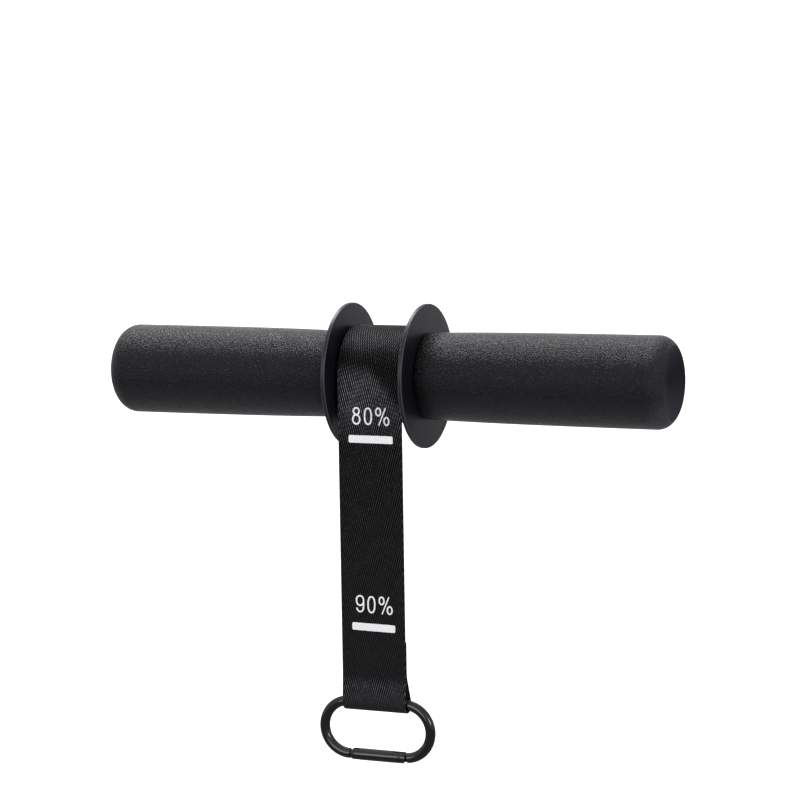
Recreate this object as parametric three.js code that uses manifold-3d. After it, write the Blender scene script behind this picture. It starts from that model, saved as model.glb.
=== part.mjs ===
// Wrist roller: a bar with two thick foam grips, a flanged spool at its middle, and a webbing strap
// that winds on the spool and ends in a snap carabiner.
// Millimetres, +Z up. The bar lies along X, the origin is on its axis at its middle, and the strap
// hangs from the front of the spool, on the -Y side.
import * as THREE from "three";
import { mergeVertices } from "three/addons/utils/BufferGeometryUtils.js";
import Module from "manifold-3d";

const wasm = await Module();
wasm.setup();

// Driving dimensions, shared by several pieces
const overallLength = 334; // over both rounded grip ends
const flangeThickness = 2.4;
const tubeRadius = 12.7; // a one inch bar
const webbingWidth = 38;
const webbingThickness = 1.2;
const webbingSlack = 5; // the gap between the flanges is this much wider than the webbing
const strapOffset = -0.5; // the webbing rides a little to the left in its gap
const rodDrop = 180.7; // bar axis down to the carabiner's top rod
const rodRadius = 2.85; // carabiner rod
const seatGap = 0.3; // between pieces that touch
const boltGap = 0.2; // round a screw, a pin or a spring in its hole
const cutOverrun = 1; // how far a cutting tool runs past what it cuts

// Bar tube
const tubeWall = 1.5;

// Grips
const gripEndRadius = 25.3; // near the outer end
const gripFlangeRadius = 24; // where it meets the flange
const gripSwell = 53; // length over which the grip swells to its outer radius
const gripCornerAxial = 10.5; // rounded end, along the bar
const gripCornerRadial = 12.5; // rounded end, across the bar
const gripDomeRise = 0.8;
const gripEndWall = 12.9; // foam past the tube's plug

// End plugs
const plugHeadThickness = 2;
const plugShankLength = 12;
const plugWall = 2;
const plugHeadInset = 0.4; // head stands back from the tube's outer wall

// Flanges
const flangeRadius = 40;
const flangeEdgeBreak = 0.4;

// Flange screws, countersunk
const screwCircleShare = 0.55; // of the way from the core's bore to its surface
const screwsPerFlange = 3;
const screwRadius = 1.5;
const screwHeadRadius = 2.8;
const screwHeadDepth = 1.3;
const screwLength = 10;
const socketAcross = 2; // hexagonal drive, across its flats
const socketDepth = 0.9;

// Spool core
const coreWall = 6; // round the bar tube
const coreFlatDepth = 3.4; // of the flat that the strap's end lies on
const coreEdgeBreak = 0.5;

// Cross pin that locks the spool to the tube
const crossPinRadius = 2.5;
const crossPinRecess = 0.4; // its ends lie this far under the core's surface
const crossPinChamfer = 0.5;

// Clamp plate that holds the strap's inner end
const plateShorter = 4; // than the webbing's width
const plateWidth = 9.2;
const plateThickness = 1.2;
const plateScrewInset = 6; // screw to the end of the plate
const plateScrewReach = 0.4; // past the tube's inner wall

// Wound strap
const innerTurnsThickness = 2.54; // the plain ring that stands for the turns on the core
const woundTurns = 2.4; // outer turns that follow the strap, over the inner ones
const turnGap = 0.45; // air between two turns
const stepsPerTurn = 36;

// Hanging strap
const runLength = 12; // stretch that lengthens as the strap unwinds
const loopSlack = 0.65; // rod to the inside of the sewn loop
const loopForward = 1; // loop stands this far in front of the strap's face
const seamAboveRod = 16.3; // top rod's centre up to the seam's lower end
const seamLength = 19.4;

// Carabiner
const bendRadius = 15; // centreline of the round ends
const straightHalf = 16.8; // half of each straight side
const hingeInset = 3; // hinge pin inside the end of the straight side
const noseInset = 0.45; // nose end inside the end of the straight side
const gateRadius = 3.3;
const gateTipRadius = 2.7;
const gateTipTaper = 1.5;
const gateEndRadius = 3.6; // the gate's rounded end, about its hinge pin
const gateGap = 0.35;
const tongueThickness = 2.4;
const tongueHeight = 4.6;
const tongueReach = 2; // tongue past the hinge pin
const tongueRoot = 3; // tongue sunk in the rod
const hingeSlotDepth = 4.3; // slot past the hinge pin
const hingePinRadius = 1;
const pinRecess = 0.15; // pin ends under the gate's side
const catchInset = 2.3; // catch pin from the nose end
const catchPinRadius = 0.8;
const catchSlack = 0.4; // notch round the catch pin
const hookTip = 1.1; // thickness of the hook's tip
const hookTipRise = 0.9; // hook's tip above the rod's axis
const noseSlotSlack = 1.3; // gate's slot past the hook's tip
const springBoreRadius = 1.75;
const springBoreDepth = 13.4;
const springTurns = 9;
const springWireRadius = 0.25;
const plungerLength = 4;
const plungerStemRadius = 0.55;
const plungerStemLength = 3;

// How many sides the round pieces have
const gripSides = 48;
const flangeSides = 72;
const rodSides = 16;
const pinSides = 16;
const wireSides = 5;
const hexSides = 6;

// Places worked out from the sizes above
const halfGap = (webbingWidth + webbingSlack) / 2;
const flangeFace = halfGap + flangeThickness;
const gripStart = flangeFace + seatGap;
const boreRadius = tubeRadius + seatGap;
const coreRadius = boreRadius + coreWall;
const coreFlatHeight = coreRadius - coreFlatDepth;
const screwCircleRadius = boreRadius + screwCircleShare * coreWall;
const gripBoreEnd = overallLength / 2 - gripEndWall;
const plugFace = gripBoreEnd - seatGap;
const tubeHalf = plugFace - plugHeadThickness - seatGap;
const coreHalf = halfGap - seatGap;
const strapLeft = strapOffset - webbingWidth / 2;
const turnPitch = webbingThickness + turnGap;
const innerTurnsRadius = coreRadius + seatGap + innerTurnsThickness;
const rollRadius = innerTurnsRadius + seatGap + turnPitch * woundTurns + webbingThickness;
const strapFront = -rollRadius;
const strapBack = strapFront + webbingThickness;
const plateLength = webbingWidth - plateShorter;
const plateScrewSpacing = plateLength - 2 * plateScrewInset;
const plateBottom = coreFlatHeight + boltGap + webbingThickness + boltGap;
const plateTop = plateBottom + plateThickness;
const plateScrewLength = plateTop - tubeRadius + tubeWall + plateScrewReach;
const loopInner = rodRadius + loopSlack;
const loopOuter = loopInner + webbingThickness;
const rodY = strapFront - loopForward + loopOuter;
const gateDrop = 2 * bendRadius;
const hingeX = straightHalf - hingeInset;
const gateEnd = hingeX + gateEndRadius;
const shoulderX = gateEnd + gateGap;
const noseX = -(straightHalf - noseInset);
const gateStart = noseX + gateGap;
const catchX = noseX + catchInset;
const hookEndX = catchX + catchPinRadius + catchSlack + hookTip;
const noseSlotEndX = hookEndX + noseSlotSlack;
const hingeSlotStartX = hingeX - hingeSlotDepth;
const slotWidth = tongueThickness + 2 * seatGap;
const plungerFaceX = hingeX - tongueReach - seatGap;
const plungerRadius = springBoreRadius - seatGap;
const plungerTailX = plungerFaceX - plungerLength;
const springEndX = hingeSlotStartX - springBoreDepth + seatGap;

// Finishes
const foam = { color: 0x2c2c2f, roughness: 0.85, metalness: 0 };
const satinBlack = { color: 0x29292c, roughness: 0.5, metalness: 0 };
const webbing = { color: 0x17171a, roughness: 0.8, metalness: 0 };
const anodised = { color: 0x141416, roughness: 0.25, metalness: 0.6 };
const blackPlastic = { color: 0x202022, roughness: 0.6, metalness: 0 };
const steel = { color: 0xa9abae, roughness: 0.4, metalness: 0.9 };

// A closed mesh as a solid that can be joined and cut.
function solidOf(geometry) {
  const bare = geometry.index ? geometry.toNonIndexed() : geometry.clone();
  bare.deleteAttribute("normal");
  bare.deleteAttribute("uv");
  const merged = mergeVertices(bare);
  const vertProperties = merged.attributes.position.array;
  const triVerts = new Uint32Array(merged.index.array);
  return new wasm.Manifold(new wasm.Mesh({ numProp: 3, vertProperties, triVerts }));
}

// A solid back as the geometry of a mesh, with flat faces.
function geometryOf(solid) {
  const { vertProperties, numProp, triVerts } = solid.getMesh();
  const shared = new THREE.BufferGeometry();
  shared.setAttribute("position", new THREE.BufferAttribute(vertProperties, numProp));
  shared.setIndex(new THREE.BufferAttribute(triVerts, 1));
  const flat = shared.toNonIndexed();
  flat.computeVertexNormals();
  return flat;
}

// One geometry less the others.
function cut(geometry, tools) {
  return geometryOf(tools.reduce((left, tool) => left.subtract(solidOf(tool)), solidOf(geometry)));
}

// Several geometries as one.
function joined(pieces) {
  return geometryOf(pieces.slice(1).reduce((sum, piece) => sum.add(solidOf(piece)), solidOf(pieces[0])));
}

// What two geometries have in common.
function common(a, b) {
  return geometryOf(solidOf(a).intersect(solidOf(b)));
}

// A profile of [x, radius] points turned about the X axis.
function turned(profile, sides) {
  const area = profile.reduce((sum, [x, r], i) => {
    const [nextX, nextR] = profile[(i + 1) % profile.length];
    return sum + x * nextR - nextX * r;
  }, 0);
  const ordered = area > 0 ? [...profile].reverse() : [...profile];
  if (ordered[0][1] > 0 || ordered.at(-1)[1] > 0) ordered.push(ordered[0]);
  const points = ordered.map(([x, r]) => new THREE.Vector2(r, x));
  return new THREE.LatheGeometry(points, sides).rotateZ(-Math.PI / 2);
}

// A round bar along X from one x to another.
function barX(radius, from, to, sides) {
  return turned([[from, 0], [from, radius], [to, radius], [to, 0]], sides);
}

// A round bar across Y or Z, centred on the origin before it is placed.
function barY(radius, length, sides) {
  return new THREE.CylinderGeometry(radius, radius, length, sides);
}

function barZ(radius, length, sides) {
  return barY(radius, length, sides).rotateX(Math.PI / 2);
}

// A box from its lowest corner to its highest.
function boxBetween(low, high) {
  const size = high.map((value, i) => value - low[i]);
  const middle = high.map((value, i) => (value + low[i]) / 2);
  return new THREE.BoxGeometry(...size).translate(...middle);
}

const alongX = new THREE.Vector3(1, 0, 0);
const alongY = new THREE.Vector3(0, 1, 0);
const alongZ = new THREE.Vector3(0, 0, 1);

// An outline drawn in Y and Z, pushed along X.
function pushedX(outline, from, width) {
  const options = { depth: width, bevelEnabled: false, curveSegments: stepsPerTurn };
  const pushed = new THREE.ExtrudeGeometry(outline, options);
  pushed.applyMatrix4(new THREE.Matrix4().makeBasis(alongY, alongZ, alongX));
  return pushed.translate(from, 0, 0);
}

// An outline drawn in X and Z, pushed across Y and centred there.
function pushedY(outline, thickness) {
  const pushed = new THREE.ExtrudeGeometry(outline, { depth: thickness, bevelEnabled: false });
  pushed.translate(0, 0, -thickness / 2);
  return pushed.applyMatrix4(new THREE.Matrix4().makeBasis(alongX, alongZ, alongY.clone().negate()));
}

// A round section pushed along a route, one step between each two of its places.
function pushedAlong(places, radius, sides) {
  const ring = Array.from({ length: sides }, (_, i) => {
    const angle = (2 * Math.PI * i) / sides;
    return new THREE.Vector2(radius * Math.cos(angle), radius * Math.sin(angle));
  });
  const extrudePath = new THREE.CatmullRomCurve3(places);
  return new THREE.ExtrudeGeometry(new THREE.Shape(ring), { steps: places.length - 1, extrudePath });
}

const roller = new THREE.Group();
const bar = new THREE.Group();
const strap = new THREE.Group();
const carabiner = new THREE.Group();
carabiner.position.set(strapOffset, rodY, -rodDrop);
roller.add(bar, strap, carabiner);

function add(group, name, geometry, finish) {
  const mesh = new THREE.Mesh(geometry, new THREE.MeshStandardMaterial(finish));
  mesh.name = name;
  group.add(mesh);
  return mesh;
}

// A piece of the right half, and the same piece turned round for the left half.
function addBoth(name, geometry, finish) {
  add(bar, `right_${name}`, geometry, finish);
  add(bar, `left_${name}`, geometry.clone(), finish).rotation.y = Math.PI;
}

// Screws stand on a circle round the bar. None is at +Y, where the core is flat.
function screwPlaces() {
  return Array.from({ length: screwsPerFlange }, (_, i) => {
    const angle = ((2 * i + 1) * Math.PI) / screwsPerFlange;
    return [screwCircleRadius * Math.cos(angle), screwCircleRadius * Math.sin(angle)];
  });
}

// A countersunk screw along X, its head's flat top at x = 0 and its tip on the -X side.
function countersunk(length) {
  const profile = [
    [0, 0],
    [0, screwHeadRadius],
    [-screwHeadDepth, screwRadius],
    [-length + screwRadius, screwRadius],
    [-length, screwRadius / 2],
    [-length, 0],
  ];
  const socketCorner = socketAcross / Math.sqrt(3);
  return cut(turned(profile, pinSides), [barX(socketCorner, -socketDepth, cutOverrun, hexSides)]);
}

// The hole that a countersunk screw goes through, with the same origin.
function countersink(depth) {
  const profile = [
    [cutOverrun, 0],
    [cutOverrun, screwHeadRadius + boltGap],
    [0, screwHeadRadius + boltGap],
    [-screwHeadDepth, screwRadius + boltGap],
    [-depth, screwRadius + boltGap],
    [-depth, 0],
  ];
  return turned(profile, pinSides);
}

// Bar tube, drilled for the cross pin and the clamp screws
function makeTube() {
  const inner = tubeRadius - tubeWall;
  const wall = [[-tubeHalf, inner], [-tubeHalf, tubeRadius], [tubeHalf, tubeRadius], [tubeHalf, inner]];
  const tools = [crossPinHole(), ...plateScrewHoles()];
  add(bar, "core_tube", cut(turned(wall, gripSides), tools), steel);
}

function crossPinHole() {
  return barZ(crossPinRadius + boltGap, 2 * (coreRadius + cutOverrun), pinSides);
}

function plateScrewHoles() {
  return [-1, 1].map((side) => {
    const hole = barY(screwRadius + boltGap, plateScrewLength + cutOverrun, pinSides);
    const middle = plateTop - (plateScrewLength + cutOverrun) / 2;
    return hole.translate((side * plateScrewSpacing) / 2, middle, 0);
  });
}

// End plugs: a head over the tube's end and a hollow shank inside it
function makePlugs() {
  const head = tubeRadius - plugHeadInset;
  const shank = tubeRadius - tubeWall - seatGap;
  const hollow = shank - plugWall;
  const headBack = plugFace - plugHeadThickness;
  const shankEnd = headBack - plugShankLength;
  const profile = [
    [plugFace, 0],
    [plugFace, head],
    [headBack, head],
    [headBack, shank],
    [shankEnd, shank],
    [shankEnd, hollow],
    [headBack - plugWall, hollow],
    [headBack - plugWall, 0],
  ];
  addBoth("end_plug", turned(profile, gripSides), blackPlastic);
}

// Grips: foam sleeves that swell from the flange outwards and close over the bar's end
function makeGrips() {
  const half = overallLength / 2;
  const cornerStart = half - gripDomeRise - gripCornerAxial;
  const swellShares = [0, 0.08, 0.18, 0.3, 0.45, 0.65, 1];
  const swell = swellShares.map((share) => {
    const x = gripStart + share * (cornerStart - gripStart);
    const narrowing = (gripEndRadius - gripFlangeRadius) * Math.exp((gripStart - x) / gripSwell);
    return [x, share < 1 ? gripEndRadius - narrowing : gripEndRadius];
  });
  const cornerShares = [0.13, 0.27, 0.4, 0.53, 0.66, 0.79, 0.9];
  const corner = cornerShares.map((share) => {
    const angle = (share * Math.PI) / 2;
    const x = cornerStart + gripCornerAxial * Math.sin(angle);
    return [x, gripEndRadius - gripCornerRadial * (1 - Math.cos(angle))];
  });
  const faceRadius = gripEndRadius - gripCornerRadial;
  const domeShares = [1, 0.6, 0];
  const dome = domeShares.map((share) => [half - gripDomeRise * share * share, faceRadius * share]);
  const bore = [[gripBoreEnd, 0], [gripBoreEnd, boreRadius], [gripStart, boreRadius]];
  addBoth("grip", turned([...swell, ...corner, ...dome, ...bore], gripSides), foam);
}

// Flanges: thin discs, screwed to the ends of the core
function makeFlanges() {
  const rim = flangeRadius - flangeEdgeBreak;
  const profile = [
    [halfGap, boreRadius],
    [halfGap, rim],
    [halfGap + flangeEdgeBreak, flangeRadius],
    [flangeFace - flangeEdgeBreak, flangeRadius],
    [flangeFace, rim],
    [flangeFace, boreRadius],
  ];
  const holes = screwPlaces().map(([y, z]) => {
    return countersink(flangeThickness + cutOverrun).translate(flangeFace, y, z);
  });
  addBoth("flange", cut(turned(profile, flangeSides), holes), satinBlack);
  for (const [side, turn] of [["right", 0], ["left", Math.PI]]) {
    const half = new THREE.Group();
    half.rotation.y = turn;
    bar.add(half);
    screwPlaces().forEach(([y, z], i) => {
      const screw = add(half, `${side}_flange_screw_${i + 1}`, countersunk(screwLength), steel);
      screw.position.set(flangeFace, y, z);
    });
  }
}

// Spool core: a thick sleeve pinned to the tube, with a flat where the strap's end is clamped
function makeCore() {
  const edge = coreRadius - coreEdgeBreak;
  const profile = [
    [-coreHalf, boreRadius],
    [-coreHalf, edge],
    [coreEdgeBreak - coreHalf, coreRadius],
    [coreHalf - coreEdgeBreak, coreRadius],
    [coreHalf, edge],
    [coreHalf, boreRadius],
  ];
  const far = coreRadius + cutOverrun;
  const flat = boxBetween([-far - halfGap, coreFlatHeight, -far], [far + halfGap, far, far]);
  const screwDepth = screwLength - flangeThickness + cutOverrun;
  const screwHoles = [-1, 1].flatMap((side) => screwPlaces().map(([y, z]) => {
    const from = side * (coreHalf - screwDepth);
    const to = side * (coreHalf + cutOverrun);
    const hole = barX(screwRadius + boltGap, Math.min(from, to), Math.max(from, to), pinSides);
    return hole.translate(0, y, z);
  }));
  const tools = [flat, crossPinHole(), ...plateScrewHoles(), ...screwHoles];
  add(bar, "spool_core", cut(turned(profile, gripSides), tools), blackPlastic);
}

// Cross pin
function makeCrossPin() {
  const half = coreRadius - crossPinRecess;
  const neck = crossPinRadius - crossPinChamfer;
  const profile = [
    [-half, 0],
    [-half, neck],
    [crossPinChamfer - half, crossPinRadius],
    [half - crossPinChamfer, crossPinRadius],
    [half, neck],
    [half, 0],
  ];
  add(bar, "spool_cross_pin", turned(profile, pinSides).rotateY(Math.PI / 2), steel);
}

// Clamp plate and its two screws, on the flat of the core
function makeClamp() {
  const low = [-plateLength / 2, plateBottom, -plateWidth / 2];
  const high = [plateLength / 2, plateTop, plateWidth / 2];
  const places = [-1, 1].map((side) => (side * plateScrewSpacing) / 2);
  const holes = places.map((x) => {
    const hole = countersink(plateThickness + cutOverrun).rotateZ(Math.PI / 2);
    return hole.translate(x, plateTop, 0);
  });
  add(bar, "strap_clamp_plate", cut(boxBetween(low, high), holes), steel);
  places.forEach((x, i) => {
    const screw = add(bar, `clamp_screw_${i + 1}`, countersunk(plateScrewLength), steel);
    screw.rotation.z = Math.PI / 2;
    screw.position.set(x, plateTop, 0);
  });
}

// Inner turns of the strap: a plain ring round the core, with the strap's end under the clamp plate
function makeInnerTurns() {
  const ring = new THREE.Shape();
  ring.absarc(0, 0, innerTurnsRadius, 0, 2 * Math.PI, false);
  const hole = new THREE.Path();
  const holeRadius = coreRadius + seatGap;
  const endLayer = coreFlatHeight + boltGap;
  const flatAngle = Math.acos(endLayer / holeRadius);
  hole.absarc(0, 0, holeRadius, flatAngle, 2 * Math.PI - flatAngle, false);
  hole.closePath();
  const slot = new THREE.Path();
  const slotBottom = plateBottom - boltGap;
  const slotTop = plateTop + seatGap;
  const slotHalf = plateWidth / 2 + boltGap;
  slot.moveTo(slotBottom, -slotHalf);
  slot.lineTo(slotTop, -slotHalf);
  slot.lineTo(slotTop, slotHalf);
  slot.lineTo(slotBottom, slotHalf);
  slot.closePath();
  ring.holes.push(hole, slot);
  const turns = pushedX(ring, strapLeft, webbingWidth);
  add(bar, "strap_inner_turns", cut(turns, plateScrewHoles()), webbing);
}

// A point on the wound strap's outer or inner face. The angle grows from the front of the roll,
// where the strap leaves it, over the top and inwards.
function windingPoint(angle, depth) {
  const radius = rollRadius - (turnPitch * angle) / (2 * Math.PI) - depth;
  return new THREE.Vector2(-radius * Math.cos(angle), radius * Math.sin(angle));
}

// Outer turns of the strap: one unbroken spiral band
function makeOuterTurns() {
  const steps = Math.round(woundTurns * stepsPerTurn);
  const angles = Array.from({ length: steps + 1 }, (_, i) => (i * 2 * Math.PI) / stepsPerTurn);
  const outer = angles.map((angle) => windingPoint(angle, 0));
  const inner = angles.map((angle) => windingPoint(angle, webbingThickness));
  const band = new THREE.Shape([...outer, ...inner.toReversed()]);
  add(strap, "strap_outer_turns", pushedX(band, strapLeft, webbingWidth), webbing);
  const nextOuter = outer.slice(stepsPerTurn);
  const gaps = nextOuter.flatMap((point) => inner.map((other) => point.distanceTo(other)));
  const leastGap = Math.min(...gaps) * Math.cos(Math.PI / stepsPerTurn);
  console.log(`wound strap: ${woundTurns} turns, least gap to itself ${leastGap.toFixed(2)} mm`);
}

// Run: the straight stretch under the roll that grows as the strap unwinds
function makeRun() {
  const low = [strapLeft, strapFront, -runLength];
  const high = [strapLeft + webbingWidth, strapBack, -seatGap];
  add(strap, "strap_run", boxBetween(low, high), webbing);
}

// The angle at which a line from a point touches a circle, on the side that is asked for.
function touchAngle(point, centre, radius, side) {
  const away = point.clone().sub(centre);
  return away.angle() + side * Math.acos(radius / away.length());
}

// End of the strap: a straight stretch, the seam of two layers, and the loop round the rod
function makeStrapEnd() {
  const top = -runLength - seatGap;
  const rod = new THREE.Vector2(rodY, -rodDrop);
  const seamBottom = seamAboveRod - rodDrop;
  const seamTop = seamBottom + seamLength;
  const tailBack = strapBack + webbingThickness;
  const front = new THREE.Vector2(strapFront, seamBottom);
  const middle = new THREE.Vector2(strapBack, seamBottom);
  const back = new THREE.Vector2(tailBack, seamBottom);
  const outline = new THREE.Shape();
  outline.moveTo(strapFront, top);
  outline.lineTo(front.x, front.y);
  const outerFrom = touchAngle(front, rod, loopOuter, 1);
  const outerTo = touchAngle(back, rod, loopOuter, -1);
  outline.absarc(rod.x, rod.y, loopOuter, outerFrom, outerTo, false);
  outline.lineTo(back.x, back.y);
  outline.lineTo(tailBack, seamTop);
  outline.lineTo(strapBack, seamTop);
  outline.lineTo(strapBack, top);
  outline.closePath();
  const eye = new THREE.Path();
  const innerFrom = touchAngle(middle, rod, loopInner, 1);
  const innerTo = touchAngle(middle, rod, loopInner, -1);
  eye.absarc(rod.x, rod.y, loopInner, innerFrom, innerTo, false);
  eye.lineTo(middle.x, middle.y);
  eye.closePath();
  outline.holes.push(eye);
  add(strap, "strap_end", pushedX(outline, strapLeft, webbingWidth), webbing);
}

// Carabiner body: a round rod bent to an oval, with a tongue for the gate's hinge and a hook at
// its nose. The origin of the carabiner's group is the middle of its top rod.
function makeCarabinerBody() {
  const shoulderAngle = Math.asin((shoulderX - straightHalf) / bendRadius);
  const route = new THREE.Path();
  const quarter = Math.PI / 2;
  route.absarc(straightHalf, -bendRadius, bendRadius, shoulderAngle - quarter, quarter, false);
  route.lineTo(-straightHalf, 0);
  route.absarc(-straightHalf, -bendRadius, bendRadius, quarter, 3 * quarter, false);
  route.lineTo(noseX, -gateDrop);
  const steps = 56;
  const places = route.getSpacedPoints(steps).map((point) => new THREE.Vector3(point.x, 0, point.y));
  const rod = pushedAlong(places, rodRadius, rodSides);
  const tongue = new THREE.Shape();
  const tongueHalf = tongueHeight / 2;
  tongue.moveTo(shoulderX + tongueRoot, -tongueHalf);
  tongue.lineTo(shoulderX + tongueRoot, tongueHalf);
  tongue.lineTo(hingeX - tongueReach, tongueHalf);
  tongue.lineTo(hingeX - tongueReach, -tongueHalf);
  tongue.closePath();
  const notchLeft = catchX - catchPinRadius - catchSlack;
  const notchRight = catchX + catchPinRadius + catchSlack;
  const notchBottom = -catchPinRadius - catchSlack;
  const hook = new THREE.Shape();
  hook.moveTo(noseX - tongueRoot, -tongueHalf);
  hook.lineTo(hookEndX, -tongueHalf);
  hook.lineTo(hookEndX, hookTipRise);
  hook.lineTo(notchRight, hookTipRise);
  hook.lineTo(notchRight, notchBottom);
  hook.lineTo(notchLeft, notchBottom);
  hook.lineTo(notchLeft, tongueHalf);
  hook.lineTo(noseX - tongueRoot, tongueHalf);
  hook.closePath();
  const ends = [tongue, hook].map((shape) => pushedY(shape, tongueThickness).translate(0, 0, -gateDrop));
  const whole = joined([rod, ...ends]);
  const pinHole = barY(hingePinRadius + boltGap, gateDrop, pinSides).translate(hingeX, 0, -gateDrop);
  add(carabiner, "carabiner_body", cut(whole, [pinHole]), anodised);
}

// Gate: a slotted tube on the body's tongue, with a blind bore for its spring
function makeGate() {
  const profile = [
    [gateStart, 0],
    [gateStart, gateTipRadius],
    [gateStart + gateTipTaper, gateRadius],
    [gateEnd, gateRadius],
    [gateEnd, 0],
  ];
  const reach = gateRadius + cutOverrun;
  const endRound = joined([
    barY(gateEndRadius, 2 * reach, gripSides).translate(hingeX, 0, 0),
    boxBetween([gateStart - cutOverrun, -reach, -reach], [hingeX, reach, reach]),
  ]);
  const tools = [
    boxBetween([hingeSlotStartX, -slotWidth / 2, -reach], [gateEnd + cutOverrun, slotWidth / 2, reach]),
    boxBetween([gateStart - cutOverrun, -slotWidth / 2, -reach], [noseSlotEndX, slotWidth / 2, reach]),
    barX(springBoreRadius, hingeSlotStartX - springBoreDepth, hingeSlotStartX + cutOverrun, pinSides),
    barY(hingePinRadius + boltGap, 2 * reach, pinSides).translate(hingeX, 0, 0),
    barY(catchPinRadius + boltGap, 2 * reach, pinSides).translate(catchX, 0, 0),
  ];
  const gate = cut(common(turned(profile, rodSides * 2), endRound), tools);
  add(carabiner, "carabiner_gate", gate, anodised).position.z = -gateDrop;
}

// Hinge pin, fixed in the body, and catch pin, fixed in the gate
function makeGatePins() {
  const length = 2 * (gateRadius - pinRecess);
  const hinge = add(carabiner, "gate_hinge_pin", barY(hingePinRadius, length, pinSides), steel);
  hinge.position.set(hingeX, 0, -gateDrop);
  const catcher = add(carabiner, "gate_catch_pin", barY(catchPinRadius, length, pinSides), steel);
  catcher.position.set(catchX, 0, -gateDrop);
}

// Plunger: a flat head pressed on the tongue, and a stem inside the spring
function makePlunger() {
  const profile = [
    [plungerFaceX, 0],
    [plungerFaceX, plungerRadius],
    [plungerTailX, plungerRadius],
    [plungerTailX, plungerStemRadius],
    [plungerTailX - plungerStemLength, plungerStemRadius],
    [plungerTailX - plungerStemLength, 0],
  ];
  add(carabiner, "gate_plunger", turned(profile, pinSides), steel).position.z = -gateDrop;
}

// Gate spring: one helix of round wire
function makeGateSpring() {
  const coilRadius = plungerRadius - springWireRadius;
  const startX = plungerTailX - seatGap - springWireRadius;
  const endX = springEndX + springWireRadius;
  const pitch = (startX - endX) / springTurns;
  const stepsPerCurl = 8;
  const places = Array.from({ length: springTurns * stepsPerCurl + 1 }, (_, i) => {
    const angle = (2 * Math.PI * i) / stepsPerCurl;
    const x = startX - (pitch * i) / stepsPerCurl;
    return new THREE.Vector3(x, coilRadius * Math.cos(angle), coilRadius * Math.sin(angle));
  });
  const wire = pushedAlong(places, springWireRadius, wireSides);
  add(carabiner, "gate_spring", wire, steel).position.z = -gateDrop;
  const gap = pitch - 2 * springWireRadius;
  console.log(`gate spring: ${springTurns} curls, least gap to itself ${gap.toFixed(2)} mm`);
}

makeTube();
makePlugs();
makeGrips();
makeFlanges();
makeCore();
makeCrossPin();
makeClamp();
makeInnerTurns();
makeOuterTurns();
makeRun();
makeStrapEnd();
makeCarabinerBody();
makeGate();
makeGatePins();
makePlunger();
makeGateSpring();

export default roller;
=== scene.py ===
"""The wrist roller's looks: grips, flanges, wound and hanging webbing, carabiner and a plain
studio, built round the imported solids. Metres, +Z up, the bar along X, the strap on the -Y side."""
import math
import random

import bmesh
import bpy
from bpy.props import FloatProperty, FloatVectorProperty, PointerProperty
from mathutils import Matrix, Vector


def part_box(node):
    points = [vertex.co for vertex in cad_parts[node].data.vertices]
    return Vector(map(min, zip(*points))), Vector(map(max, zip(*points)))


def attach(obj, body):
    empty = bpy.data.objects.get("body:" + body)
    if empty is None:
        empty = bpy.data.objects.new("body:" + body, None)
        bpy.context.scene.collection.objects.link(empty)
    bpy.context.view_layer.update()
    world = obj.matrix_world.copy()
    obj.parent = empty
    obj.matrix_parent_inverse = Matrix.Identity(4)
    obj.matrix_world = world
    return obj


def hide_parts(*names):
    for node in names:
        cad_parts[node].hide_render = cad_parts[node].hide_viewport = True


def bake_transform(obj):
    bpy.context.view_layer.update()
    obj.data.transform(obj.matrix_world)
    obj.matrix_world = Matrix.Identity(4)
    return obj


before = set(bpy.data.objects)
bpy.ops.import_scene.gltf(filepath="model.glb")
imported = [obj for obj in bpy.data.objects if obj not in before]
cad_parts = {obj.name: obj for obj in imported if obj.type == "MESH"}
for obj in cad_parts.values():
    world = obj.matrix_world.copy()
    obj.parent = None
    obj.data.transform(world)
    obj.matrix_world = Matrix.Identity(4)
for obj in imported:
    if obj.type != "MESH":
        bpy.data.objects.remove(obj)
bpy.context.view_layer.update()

bl_info = {
    "name": "Wrist roller",
    "version": (1, 0, 0),
    "blender": (4, 5, 0),
    "location": "View3D > Sidebar > Roller",
    "description": "Builds the roller's visible pieces and its studio round the packed solids",
    "category": "Object",
}

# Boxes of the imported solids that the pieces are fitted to
GRIP_LOW, GRIP_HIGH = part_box("right_grip")
FLANGE_LOW, FLANGE_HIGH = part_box("right_flange")
OUTER_LOW, OUTER_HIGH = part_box("strap_outer_turns")
RUN_LOW, RUN_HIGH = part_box("strap_run")
END_LOW, END_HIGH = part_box("strap_end")
BODY_LOW, BODY_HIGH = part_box("carabiner_body")
GATE_LOW, GATE_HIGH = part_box("carabiner_gate")
HINGE_PIN_LOW, HINGE_PIN_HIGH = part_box("gate_hinge_pin")
CATCH_PIN_LOW, CATCH_PIN_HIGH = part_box("gate_catch_pin")

# Places and sizes that more than one piece or finish uses
STRAP_MIDDLE = (RUN_LOW.x + RUN_HIGH.x) / 2.0
STRAP_HALF = (RUN_HIGH.x - RUN_LOW.x) / 2.0
BODY_MIDDLE = (BODY_LOW + BODY_HIGH) / 2.0
GATE_HEIGHT = (GATE_LOW.z + GATE_HIGH.z) / 2.0
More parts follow.
